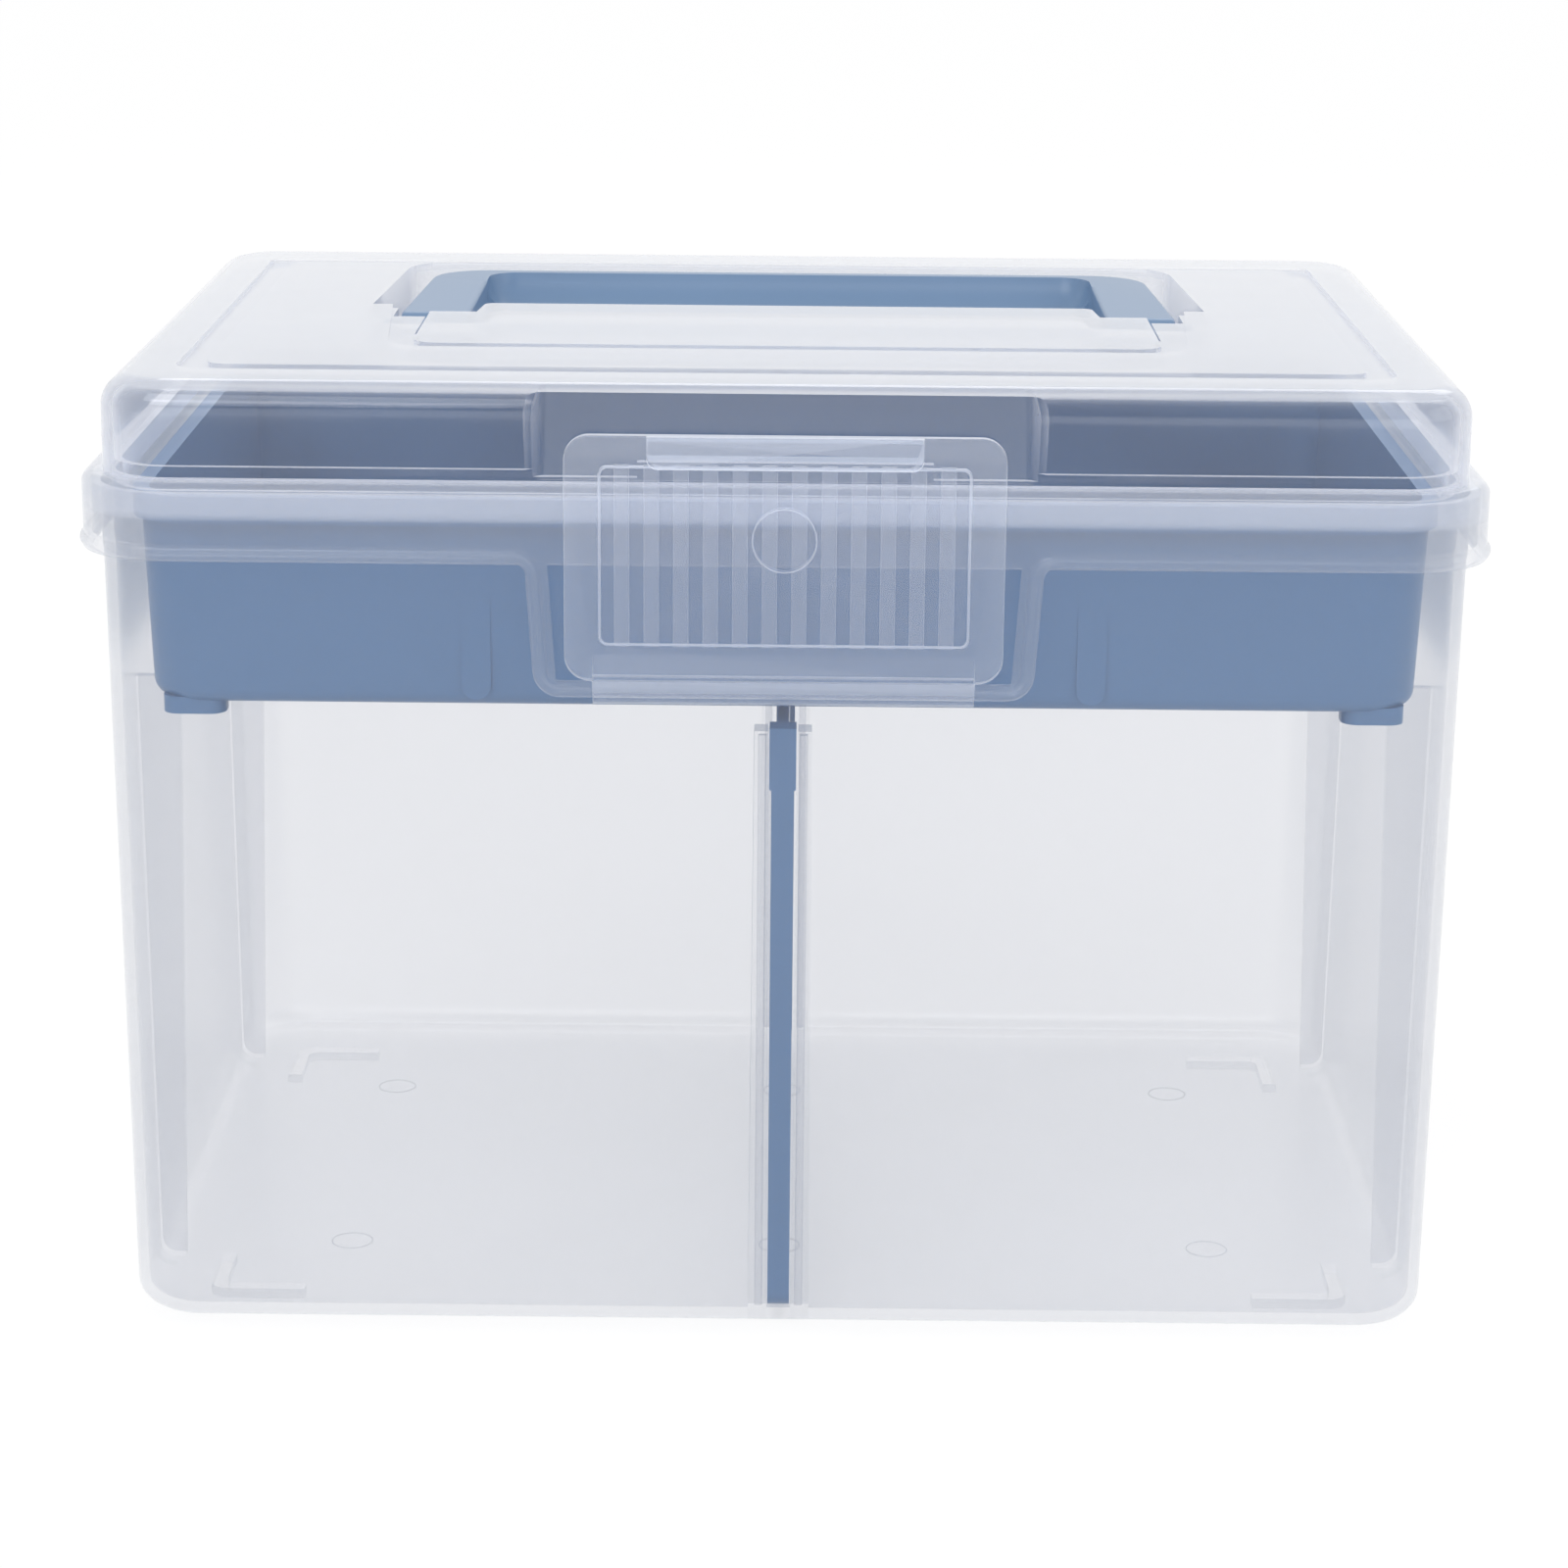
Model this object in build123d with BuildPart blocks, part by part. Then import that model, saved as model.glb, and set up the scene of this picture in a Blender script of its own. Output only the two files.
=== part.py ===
from build123d import *
import math
import os

# Coin storage box: a deep clear body with a turned-down rim, a domed lid with a folding handle,
# a front latch, a lift-out tray and a plate that divides the space under the tray.
# Millimetres, +Z up, the latch at the front (-Y), the origin under the middle of the feet.

# Body
rim_length = 255.0
rim_depth = 182.0
rim_top = 164.0
rim_height = 14.0
rim_corner = 17.0
rim_overhang = 3.4
rim_thickness = 2.0
rim_shoulder = 2.2
skirt_thickness = 1.6
body_wall = 2.0
body_floor = 2.2
body_draft = 0.5
body_foot_radius = 5.0
floor_corner_radius = 3.0

# Stacking feet under the body and the groove in the lid that takes them
foot_height = 2.0
foot_width = 3.0
foot_leg_x = 18.5
foot_leg_y = 18.0
stack_inset_x = 19.0
stack_inset_y = 22.5
stack_corner = 4.0
groove_clearance = 1.0
groove_depth = 0.9

# Bead along the rim and round the tongue; its lowest run is the bar of the latch
bead_radius = 1.5
bead_proud = 0.7
tongue_beside_latch_top = 5.9
tongue_beside_latch_bottom = 4.3
tongue_drop = 24.3
tongue_corner = 3.5
tongue_leg = 2.6

# Guides for the divider and ribs that carry the tray
guide_below_tray_foot = 0.4
guide_reach = 5.2
guide_width_top = 2.5
guide_width_bottom = 3.5
channel_half_top = 2.75
channel_half_bottom = 2.25
rib_spacing = 116.0
rib_thickness = 2.5
rib_reach_top = 8.7
rib_reach_bottom = 6.1
rib_nose_radius = 1.2

# Lid
lid_height = 17.4
lid_inset = 3.9
lid_wall = 2.0
lid_corner = 13.0
lid_top_radius = 6.0
lip_clearance = 0.8
lip_height = 2.4
lip_thickness = 1.2
collar_height = 2.0

# Recess of the lid's top with its island, and the deep well of the handle
recess_depth = 0.8
recess_front = -44.0
recess_beside_island_front = 4.2
recess_beside_island_back = 8.2
recess_corner = 8.0
island_from_recess = 4.0
island_inside_arm = 6.4
island_wide_gap = 5.3
island_narrow_gap = 2.6
island_past_pivot = 6.0
island_corner = 5.0
island_step_radius = 2.0
island_slit = 0.8
island_slit_length = 22.0
well_past_pivot = 3.5
well_behind_grip = 8.0
well_beside_arm_front = 5.8
well_beside_arm_back = 5.4
well_corner = 14.0
notch_before_pivot = 7.0

# Handle
handle_thickness = 7.0
handle_below_top = 0.8
handle_floor_gap = 1.2
pivot_y = 4.0
arm_outer_front = 77.2
arm_outer_back = 74.6
arm_inner = 63.2
grip_back = 62.0
grip_front = 50.0
grip_edge = 3.5
grip_outer_corner = 12.0
grip_inner_corner = 6.0
handle_edge = 0.8
scoop_depth = 2.0
handle_pin_radius = 2.2
handle_pin_length = 4.4
handle_pin_clearance = 0.07
boss_clearance = 0.7
boss_radius = 3.4
pin_end_gap = 0.3

# Latch
latch_half = 39.1
latch_above_catch = 6.2
latch_thickness = 2.0
latch_stand_off = 2.0
latch_corner = 4.5
latch_edge = 0.5
clip_inset = 4.9
clip_wall = 1.04
clip_clearance = 0.06
clip_mouth = 2.2
hook_half = 24.4
hook_slope = 2.4
hook_gap = 0.3
hook_pad = 1.2
hook_corner = 2.0
window_inset_side = 6.1
window_inset_top = 5.4
window_inset_bottom = 6.6
window_depth = 0.9
window_corner = 1.5
window_rib_count = 12
window_rib_pitch = 5.24
window_rib_width = 2.6
window_rib_proud = 0.6
latch_mark_below_top = 18.6
latch_mark_radius = 5.7
latch_mark_depth = 0.3

# Recess of the lid's front behind the latch, with the catch for the hook in its foot
front_recess_beside_latch = 6.7
front_recess_back_beside_latch = 4.4
front_recess_depth_top = 4.5
front_recess_depth_foot = 1.8
front_recess_corner = 2.0
front_recess_floor = 1.2
catch_height = 4.0
catch_margin = 2.0
catch_gap = 0.4

# Hinge at the back
hinge_spacing = 140.0
hinge_offset = 4.5
hinge_drop = 3.0
hinge_pin_radius = 1.8
hinge_clearance = 0.06
knuckle_radius = 3.9
knuckle_length = 18.0
knuckle_side_gap = 0.4
knuckle_back = 2.8
knuckle_inner = 2.9
hinge_arm_gap = 0.3
hinge_arm_thickness = 2.5
lug_thickness = 3.0
lug_radius = 3.4
lug_drop = 12.0

# Tray
tray_rim_below_top = 4.0
tray_height = 39.0
tray_side_gap = 3.2
tray_rim_height = 5.0
tray_rim_proud = 1.3
tray_wall = 1.6
tray_floor = 1.8
tray_draft = 2.0
tray_corner = 12.0
tray_foot_radius = 3.0
tray_foot_height = 2.3
tray_foot_length = 11.5
tray_foot_depth = 8.0
tray_foot_inset_x = 2.4
tray_foot_inset_y = 1.5
tray_pilaster_x = 56.0
tray_pilaster_width = 5.4
tray_pilaster_proud = 0.8
tray_pilaster_gap = 1.5

# Divider
divider_plate = 2.0
divider_edge_width = 4.1
divider_edge_depth = 4.0
divider_head_width = 4.9
divider_head_height = 11.7
divider_head_depth = 5.0
divider_end_gap = 1.0
divider_corner = 4.0

# Places that follow from the sizes above
lid_top = rim_top + lid_height
rim_bottom = rim_top - rim_height
rim_front = -rim_depth / 2
lid_half_x = rim_length / 2 - lid_inset
lid_half_y = rim_depth / 2 - lid_inset
wall_corner = rim_corner - rim_overhang
floor_top = foot_height + body_floor
bead_z = rim_bottom + bead_radius
bead_inset = bead_radius - bead_proud
bar_z = bead_z - tongue_drop
bar_y = rim_front + bead_inset
clip_bore = bead_radius + clip_clearance
clip_radius = clip_bore + clip_wall
stack_line_x = rim_length / 2 - stack_inset_x
stack_line_y = rim_depth / 2 - stack_inset_y
tongue_half_top = latch_half + tongue_beside_latch_top
tongue_half_bottom = latch_half + tongue_beside_latch_bottom
clip_half = latch_half - clip_inset
catch_top = rim_top + catch_height
latch_top = catch_top + latch_above_catch
latch_bottom = bar_z + clip_radius
hook_bottom = catch_top + catch_gap
window_half = latch_half - window_inset_side
window_bottom = latch_bottom + window_inset_bottom
window_height = latch_top - window_inset_top - window_bottom
front_recess_half = latch_half + front_recess_beside_latch
front_recess_back_half = latch_half + front_recess_back_beside_latch
island_front = recess_front + island_from_recess
island_half = arm_outer_front - island_inside_arm
island_narrow_half = arm_inner - island_narrow_gap
island_wide_back = pivot_y - island_wide_gap
island_narrow_back = pivot_y + island_past_pivot
recess_half_front = island_half + recess_beside_island_front
recess_half_back = island_half + recess_beside_island_back
well_front = pivot_y + well_past_pivot
well_back = grip_back + well_behind_grip
well_half_front = arm_outer_front + well_beside_arm_front
well_half_back = arm_outer_back + well_beside_arm_back
notch_front = pivot_y - notch_before_pivot
tray_rim = rim_top - tray_rim_below_top
tray_bottom = tray_rim - tray_height
guide_top = tray_bottom - tray_foot_height - guide_below_tray_foot
hinge_y = rim_depth / 2 + hinge_offset
hinge_z = rim_top - hinge_drop
handle_top = lid_top - handle_below_top
handle_bottom = handle_top - handle_thickness
pivot_z = handle_bottom + handle_thickness / 2
well_floor = handle_bottom - handle_floor_gap
above = 1.0


def wall_half(half_at_rim, height):
    """Half size of a drafted wall face at a height, from its half size at the rim's top."""
    return half_at_rim - (rim_top - height) * math.tan(math.radians(body_draft))


outer_half_x = rim_length / 2 - rim_overhang
outer_half_y = rim_depth / 2 - rim_overhang
inner_half_x = outer_half_x - body_wall
inner_half_y = outer_half_y - body_wall
rib_inner_top = inner_half_x - rib_reach_top
rib_inner_bottom = inner_half_x - rib_reach_bottom
divider_reach = wall_half(inner_half_y, floor_top) - divider_end_gap


def rounded_section(height, half_x, half_y, radius):
    """Rounded rectangle on a level plane."""
    with BuildSketch(Plane.XY.offset(height)) as section:
        RectangleRounded(2 * half_x, 2 * half_y, radius)
    return section.sketch


def drafted_section(height, half_x, half_y, radius):
    """Rounded rectangle of the body's wall at a height."""
    return rounded_section(height, wall_half(half_x, height), wall_half(half_y, height), radius)


# The body's outer form and its hollow
with BuildPart() as body_form:
    loft(
        [
            drafted_section(foot_height, outer_half_x, outer_half_y, wall_corner),
            drafted_section(rim_top, outer_half_x, outer_half_y, wall_corner),
        ]
    )
    fillet(body_form.edges().group_by(Axis.Z)[0], radius=body_foot_radius)

with BuildPart() as body_hollow:
    loft(
        [
            drafted_section(floor_top, inner_half_x, inner_half_y, wall_corner - body_wall),
            drafted_section(rim_top, inner_half_x, inner_half_y, wall_corner - body_wall),
        ]
    )
    fillet(body_hollow.edges().group_by(Axis.Z)[0], radius=floor_corner_radius)

# Guides and ribs, as blocks that are trimmed to the body's outer form
with BuildPart() as body_ribs:
    with BuildSketch(Plane.XZ.offset(wall_half(inner_half_y, guide_top) - guide_reach)):
        with BuildLine():
            Polyline(
                (channel_half_bottom, foot_height),
                (channel_half_bottom + guide_width_bottom, foot_height),
                (channel_half_top + guide_width_top, guide_top),
                (channel_half_top, guide_top),
                close=True,
            )
        make_face()
        mirror(about=Plane.YZ)
    extrude(amount=guide_reach + body_wall)
    mirror(about=Plane.XZ)
    with BuildSketch(Plane.XZ.offset(rib_spacing / 2 - rib_thickness / 2)) as rib:
        with BuildLine():
            Polyline(
                (rib_inner_bottom, foot_height),
                (outer_half_x, foot_height),
                (outer_half_x, tray_bottom),
                (rib_inner_top, tray_bottom),
                close=True,
            )
        make_face()
        fillet(rib.vertices().sort_by(Axis.X)[0:2].sort_by(Axis.Y)[-1], radius=rib_nose_radius)
        mirror(about=Plane.YZ)
    extrude(amount=rib_thickness)
    mirror(about=Plane.XZ)
    add(body_form.part, mode=Mode.INTERSECT)

# Path of the bead: along the rim, down one side of the tongue, and along the latch's bar
bead_half_x = rim_length / 2 - bead_inset
bead_half_y = rim_depth / 2 - bead_inset
bead_corner = rim_corner - bead_inset
with BuildLine() as bead_path:
    front_run = FilletPolyline(
        (0, -bead_half_y, bar_z),
        (tongue_half_bottom, -bead_half_y, bar_z),
        (tongue_half_top, -bead_half_y, bead_z),
        (bead_half_x - bead_corner, -bead_half_y, bead_z),
        radius=tongue_corner,
    )
    CenterArc((bead_half_x - bead_corner, -bead_half_y + bead_corner, bead_z), bead_corner, -90, 90)
    Line(
        (bead_half_x, -bead_half_y + bead_corner, bead_z),
        (bead_half_x, bead_half_y - bead_corner, bead_z),
    )
    CenterArc((bead_half_x - bead_corner, bead_half_y - bead_corner, bead_z), bead_corner, 0, 90)
    Line((bead_half_x - bead_corner, bead_half_y, bead_z), (0, bead_half_y, bead_z))

with BuildPart() as bead:
    with BuildSketch(Plane(origin=(0, -bead_half_y, bar_z), x_dir=(0, 1, 0), z_dir=(1, 0, 0))):
        Circle(bead_radius)
    sweep(path=bead_path.wires()[0])
    mirror(about=Plane.YZ)

with BuildPart() as body:
    add(body_form.part)
    # Rim: a flange that turns down outside the wall
    with BuildSketch(Plane.XY.offset(rim_top)):
        RectangleRounded(rim_length, rim_depth, rim_corner)
    extrude(amount=-rim_height)
    fillet(body.edges().group_by(Axis.Z)[-1], radius=rim_shoulder)
    with BuildSketch(Plane.XY.offset(rim_bottom)):
        RectangleRounded(
            rim_length - 2 * skirt_thickness,
            rim_depth - 2 * skirt_thickness,
            rim_corner - skirt_thickness,
        )
        RectangleRounded(2 * outer_half_x, 2 * outer_half_y, wall_corner, mode=Mode.SUBTRACT)
    extrude(amount=rim_height - rim_thickness, mode=Mode.SUBTRACT)
    add(body_hollow.part, mode=Mode.SUBTRACT)
    add(body_ribs.part)
    # Two legs that carry the latch's bar under the rim
    with BuildSketch(Plane.XZ.offset(rim_depth / 2)):
        with BuildLine():
            Polyline(
                (tongue_half_bottom, bar_z),
                (tongue_half_top, bead_z),
                (tongue_half_top, rim_bottom + rim_height / 2),
                (tongue_half_top - tongue_leg, rim_bottom + rim_height / 2),
                (tongue_half_top - tongue_leg, bead_z),
                (tongue_half_bottom - tongue_leg, bar_z),
                close=True,
            )
        make_face()
        mirror(about=Plane.YZ)
    extrude(amount=-skirt_thickness)
    add(bead.part)
    # Stacking feet: the corners of a ridge
    with BuildSketch():
        RectangleRounded(
            2 * stack_line_x + foot_width, 2 * stack_line_y + foot_width, stack_corner
        )
        RectangleRounded(
            2 * stack_line_x - foot_width,
            2 * stack_line_y - foot_width,
            stack_corner - foot_width / 2,
            mode=Mode.SUBTRACT,
        )
        Rectangle(
            2 * (stack_line_x + foot_width / 2 - foot_leg_x), rim_depth, mode=Mode.SUBTRACT
        )
        Rectangle(
            rim_length, 2 * (stack_line_y + foot_width / 2 - foot_leg_y), mode=Mode.SUBTRACT
        )
    extrude(amount=foot_height + body_floor / 2)
    # Hinge lugs at the back with their moulded pins
    lug_offset = knuckle_length / 2 + knuckle_side_gap
    for side in (-1, 1):
        for end in (-1, 1):
            lug_x = side * hinge_spacing / 2 + end * (lug_offset + lug_thickness / 2)
            with BuildSketch(Plane.YZ.offset(lug_x)):
                with BuildLine():
                    Polyline(
                        (rim_depth / 2 - skirt_thickness / 2, hinge_z + lug_radius),
                        (hinge_y, hinge_z + lug_radius),
                        (hinge_y + lug_radius, hinge_z),
                        (rim_depth / 2 - skirt_thickness / 2, hinge_z - lug_drop + bead_radius),
                        close=True,
                    )
                make_face()
                with Locations((hinge_y, hinge_z)):
                    Circle(lug_radius)
            extrude(amount=lug_thickness / 2, both=True)
        with BuildSketch(Plane.YZ.offset(side * hinge_spacing / 2)):
            with Locations((hinge_y, hinge_z)):
                Circle(hinge_pin_radius)
        extrude(amount=lug_offset + lug_thickness / 2, both=True)

body.part.label = "body"

# The lid's outer form and its hollow
with BuildPart() as lid_form:
    with BuildSketch(Plane.XY.offset(rim_top)):
        RectangleRounded(2 * lid_half_x, 2 * lid_half_y, lid_corner)
    extrude(amount=lid_height)
    fillet(lid_form.edges().group_by(Axis.Z)[-1], radius=lid_top_radius)

with BuildPart() as lid_hollow:
    with BuildSketch(Plane.XY.offset(rim_top)):
        RectangleRounded(
            2 * (lid_half_x - lid_wall), 2 * (lid_half_y - lid_wall), lid_corner - lid_wall
        )
    extrude(amount=lid_height - lid_wall)
    fillet(lid_hollow.edges().group_by(Axis.Z)[-1], radius=lid_top_radius - lid_wall)


def well_outline(grow):
    """Plan of the handle's well, with the island's back edge as its front edge."""
    with BuildSketch(Plane.XY.offset(lid_top)) as outline:
        with BuildLine():
            Polyline(
                (0, island_narrow_back - grow),
                (island_narrow_half - grow, island_narrow_back - grow),
                (island_narrow_half - grow + above, island_wide_back - grow),
                (island_half, island_wide_back - grow),
                (island_half, notch_front - grow),
                (arm_outer_front + boss_clearance + grow, notch_front - grow),
                (arm_outer_front + boss_clearance + grow, well_front - grow),
                (well_half_front + grow, well_front - grow),
                (well_half_back + grow, well_back + grow),
                (0, well_back + grow),
                close=True,
            )
        make_face()
        mirror(about=Plane.YZ)
        fillet(outline.vertices().group_by(Axis.Y)[-1], radius=well_corner + grow)
        fillet(
            outline.vertices()
            .filter_by_position(Axis.Y, island_wide_back - grow, island_narrow_back - grow)
            .filter_by_position(Axis.X, -island_narrow_half - above, island_narrow_half + above),
            radius=island_step_radius,
        )
    return outline.sketch


lip_half_x = inner_half_x - lip_clearance
lip_half_y = inner_half_y - lip_clearance
lip_corner = wall_corner - body_wall - lip_clearance
boss_inner = arm_outer_front + boss_clearance


def front_recess_section(height, depth, grow):
    """Plan of the latch's recess at a height, open to the front."""
    with BuildSketch(Plane.XY.offset(height)) as section:
        with BuildLine():
            Polyline(
                (-front_recess_half - grow, -lid_half_y - above),
                (-front_recess_back_half - grow, -lid_half_y + depth + grow),
                (front_recess_back_half + grow, -lid_half_y + depth + grow),
                (front_recess_half + grow, -lid_half_y - above),
                close=True,
            )
        make_face()
        fillet(section.vertices().group_by(Axis.Y)[-1], radius=front_recess_corner + grow)
    return section.sketch


# Recess behind the latch, with the catch left standing in it, and the wall that lines it
with BuildPart() as front_recess:
    loft(
        [
            front_recess_section(rim_top + front_recess_floor, front_recess_depth_foot, 0),
            front_recess_section(lid_top + above, front_recess_depth_top, 0),
        ]
    )
    with BuildSketch(Plane.XY.offset(rim_top)):
        Rectangle(2 * (hook_half + catch_margin), rim_depth)
    extrude(amount=catch_top - rim_top, mode=Mode.SUBTRACT)

with BuildPart() as front_lining:
    loft(
        [
            front_recess_section(rim_top, front_recess_depth_foot, lid_wall),
            front_recess_section(lid_top, front_recess_depth_top, lid_wall),
        ]
    )
    add(lid_form.part, mode=Mode.INTERSECT)

with BuildPart() as lid:
    add(lid_form.part)
    add(lid_hollow.part, mode=Mode.SUBTRACT)
    # Locating lip and the collar that joins it to the wall
    with BuildSketch(Plane.XY.offset(rim_top)):
        RectangleRounded(2 * (lid_half_x - lid_wall / 2), 2 * (lid_half_y - lid_wall / 2), lid_corner)
    extrude(amount=collar_height)
    with BuildSketch(Plane.XY.offset(rim_top - lip_height)):
        RectangleRounded(2 * lip_half_x, 2 * lip_half_y, lip_corner)
    extrude(amount=lip_height)
    with BuildSketch(Plane.XY.offset(rim_top - lip_height)):
        RectangleRounded(
            2 * (lip_half_x - lip_thickness),
            2 * (lip_half_y - lip_thickness),
            lip_corner - lip_thickness,
        )
    extrude(amount=lip_height + collar_height, mode=Mode.SUBTRACT)
    # Walls and floor of the handle's well
    add(well_outline(lid_wall))
    extrude(amount=-(lid_top - well_floor + lid_wall))
    add(front_lining.part)
    # Shallow recess round the island, and the stacking groove
    with BuildSketch(Plane.XY.offset(lid_top)) as recess:
        with BuildLine():
            Polyline(
                (-recess_half_front, recess_front),
                (recess_half_front, recess_front),
                (recess_half_back, well_front),
                (-recess_half_back, well_front),
                close=True,
            )
        make_face()
        fillet(recess.vertices().group_by(Axis.Y)[0], radius=recess_corner)
    extrude(amount=-recess_depth, mode=Mode.SUBTRACT)
    with BuildSketch(Plane.XY.offset(lid_top)):
        RectangleRounded(
            2 * stack_line_x + foot_width + 2 * groove_clearance,
            2 * stack_line_y + foot_width + 2 * groove_clearance,
            stack_corner + groove_clearance,
        )
        RectangleRounded(
            2 * stack_line_x - foot_width - 2 * groove_clearance,
            2 * stack_line_y - foot_width - 2 * groove_clearance,
            stack_corner,
            mode=Mode.SUBTRACT,
        )
    extrude(amount=-groove_depth, mode=Mode.SUBTRACT)
    # Island at the panel's level
    with BuildSketch(Plane.XY.offset(lid_top)) as island:
        with BuildLine():
            Polyline(
                (-island_half, island_front),
                (island_half, island_front),
                (island_half, island_wide_back),
                (island_narrow_half + above, island_wide_back),
                (island_narrow_half, island_narrow_back),
                (-island_narrow_half, island_narrow_back),
                (-island_narrow_half - above, island_wide_back),
                (-island_half, island_wide_back),
                close=True,
            )
        make_face()
        fillet(island.vertices().group_by(Axis.Y)[0], radius=island_corner)
    extrude(amount=-recess_depth)
    # The well itself, and the slits beside the island
    add(well_outline(0))
    extrude(amount=-(lid_top - well_floor), mode=Mode.SUBTRACT)
    with BuildSketch(Plane.XY.offset(lid_top)):
        with Locations(
            (island_half + island_slit / 2, notch_front - island_slit_length / 2),
            (-island_half - island_slit / 2, notch_front - island_slit_length / 2),
        ):
            Rectangle(island_slit, island_slit_length)
    extrude(amount=-(lid_wall + above), mode=Mode.SUBTRACT)
    # Bosses for the handle's pins
    for side in (-1, 1):
        with BuildSketch(Plane.YZ.offset(side * boss_inner)):
            with Locations((pivot_y, pivot_z)):
                Circle(boss_radius)
        extrude(amount=side * (handle_pin_length + above))
        with BuildSketch(Plane.YZ.offset(side * boss_inner)):
            with Locations((pivot_y, pivot_z)):
                Circle(handle_pin_radius + handle_pin_clearance)
        extrude(amount=side * (handle_pin_length + pin_end_gap), mode=Mode.SUBTRACT)
    add(front_recess.part, mode=Mode.SUBTRACT)
    # Hinge knuckles with the arms that carry them over the rim
    for side in (-1, 1):
        with BuildSketch(Plane.YZ.offset(side * hinge_spacing / 2)):
            with BuildLine():
                Polyline(
                    (lid_half_y - lid_wall / 2, rim_top + hinge_arm_gap),
                    (hinge_y - knuckle_inner, rim_top + hinge_arm_gap),
                    (hinge_y - knuckle_inner, hinge_z),
                    (hinge_y + knuckle_back, hinge_z),
                    (hinge_y + knuckle_back, rim_top + hinge_arm_gap + hinge_arm_thickness),
                    (lid_half_y - lid_wall / 2, rim_top + hinge_arm_gap + hinge_arm_thickness),
                    close=True,
                )
            make_face()
            with Locations((hinge_y, hinge_z)):
                Circle(knuckle_radius)
                Circle(hinge_pin_radius + hinge_clearance, mode=Mode.SUBTRACT)
        extrude(amount=knuckle_length / 2, both=True)

lid.part.label = "lid"

# Block that scoops the grip's front out and runs up into both arms
with BuildPart() as scoop:
    with BuildSketch(Plane.YZ):
        with BuildLine():
            scoop_top = (grip_back - grip_edge, handle_top + above)
            scoop_bottom = (grip_front, handle_bottom)
            SagittaArc(scoop_bottom, scoop_top, -scoop_depth)
            Polyline(
                scoop_top,
                (pivot_y, handle_top + above),
                (pivot_y, handle_bottom),
                scoop_bottom,
            )
        make_face()
    extrude(amount=arm_inner, both=True)
    fillet(
        scoop.edges().filter_by(GeomType.CIRCLE),
        radius=grip_inner_corner,
    )

# Handle: two arms and a scooped grip
with BuildPart() as handle:
    with BuildSketch(Plane.XY.offset(handle_bottom)) as plan:
        with BuildLine():
            Polyline(
                (arm_inner, pivot_y - handle_thickness),
                (arm_outer_front, pivot_y - handle_thickness),
                (arm_outer_back, grip_back),
                (-arm_outer_back, grip_back),
                (-arm_outer_front, pivot_y - handle_thickness),
                (-arm_inner, pivot_y - handle_thickness),
                (-arm_inner, grip_front),
                (arm_inner, grip_front),
                close=True,
            )
        make_face()
        fillet(plan.vertices().group_by(Axis.Y)[-1], radius=grip_outer_corner)
        fillet(
            plan.vertices().filter_by_position(Axis.Y, grip_front - above, grip_front + above),
            radius=grip_inner_corner,
        )
    extrude(amount=handle_thickness)
    with BuildSketch(Plane.YZ.offset(-arm_outer_front - above)):
        with Locations((pivot_y, pivot_z)):
            Circle(handle_thickness / 2)
        with Locations((pivot_y, pivot_z)):
            Rectangle(grip_back - pivot_y, handle_thickness, align=(Align.MIN, Align.CENTER))
    extrude(amount=2 * (arm_outer_front + above), mode=Mode.INTERSECT)
    fillet(
        handle.faces().sort_by(Axis.Z)[-1].edges(),
        radius=handle_edge,
    )
    add(scoop.part, mode=Mode.SUBTRACT)
    for side in (-1, 1):
        with BuildSketch(Plane.YZ.offset(side * (boss_inner - boss_clearance - above))):
            with Locations((pivot_y, pivot_z)):
                Circle(handle_pin_radius)
        extrude(amount=side * (above + boss_clearance + handle_pin_length))

handle.part.label = "handle"

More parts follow.
